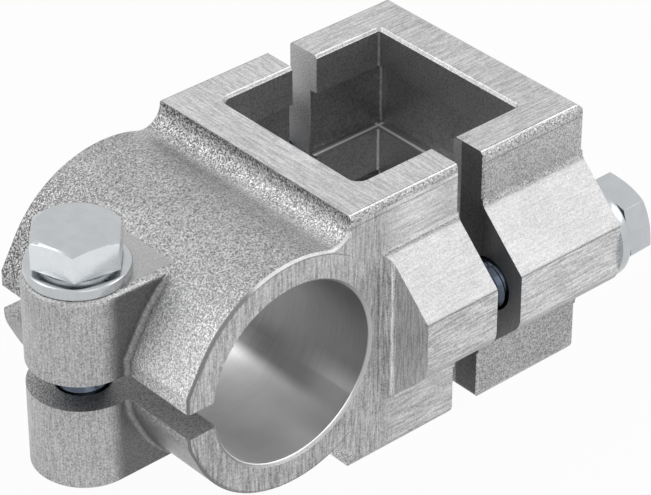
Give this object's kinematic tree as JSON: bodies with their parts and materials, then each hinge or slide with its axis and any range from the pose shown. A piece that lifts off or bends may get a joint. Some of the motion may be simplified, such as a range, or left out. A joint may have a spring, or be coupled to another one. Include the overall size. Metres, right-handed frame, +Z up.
{
  "type": "cross clamp block",
  "caption": "Cast aluminium cross clamp block: a split clamp for a round tube joined at right angles to a two-part clamp for a square tube, with hexagon head screws.",
  "frame": {"origin": "on the axis of the square socket, level with the axis of the round bore", "axes": "+X from the round clamp towards the loose jaw, +Y along the round tube, +Z up along the square tube"},
  "size_m": [0.0968, 0.064, 0.0478],
  "materials": {
    "casting": "shot-blasted casting with machined faces",
    "zinc_plated_steel": "bright zinc plate, bluish"
  },
  "bodies": {
    "clamp_body": {"clamp_body": "casting"},
    "jaw": {"square_jaw": "casting", "jaw_washer_front": "zinc_plated_steel", "jaw_washer_rear": "zinc_plated_steel"},
    "jaw_bolt_front": {"jaw_bolt_front": "zinc_plated_steel"},
    "jaw_bolt_rear": {"jaw_bolt_rear": "zinc_plated_steel"},
    "round_clamp_washer": {"round_clamp_washer": "zinc_plated_steel"},
    "round_clamp_bolt": {"round_clamp_bolt": "zinc_plated_steel"}
  },
  "joints": [
    {"name": "jaw_slide", "type": "slide", "parent": "clamp_body", "child": "jaw", "axis": [1, 0, 0], "range_m": [-0.0028, 0.005]},
    {"name": "jaw_bolt_front_turn", "type": "hinge", "parent": "jaw", "child": "jaw_bolt_front", "pos_m": [0.0261, -0.02405, 0], "axis": [1, 0, 0], "range_deg": [-806.5, 1440.1]},
    {"name": "jaw_bolt_rear_turn", "type": "hinge", "parent": "jaw", "child": "jaw_bolt_rear", "pos_m": [0.0261, 0.02405, 0], "axis": [1, 0, 0], "range_deg": [-806.5, 1440.1]},
    {"name": "round_clamp_washer_lift", "type": "slide", "parent": "clamp_body", "child": "round_clamp_washer", "axis": [0, 0, 1], "range_m": [0, 0.012]},
    {"name": "round_clamp_bolt_turn", "type": "hinge", "parent": "round_clamp_washer", "child": "round_clamp_bolt", "pos_m": [-0.0565, 0, 0.0188], "axis": [0, 0, 1], "range_deg": [-0.1, 3456.1]}
  ],
  "couplings": [
    {"joint": "jaw_bolt_front_turn", "follows": "jaw_slide", "rad_per_m": 5026.5},
    {"joint": "jaw_bolt_rear_turn", "follows": "jaw_slide", "rad_per_m": 5026.5},
    {"joint": "round_clamp_bolt_turn", "follows": "round_clamp_washer_lift", "rad_per_m": 5026.5}
  ]
}
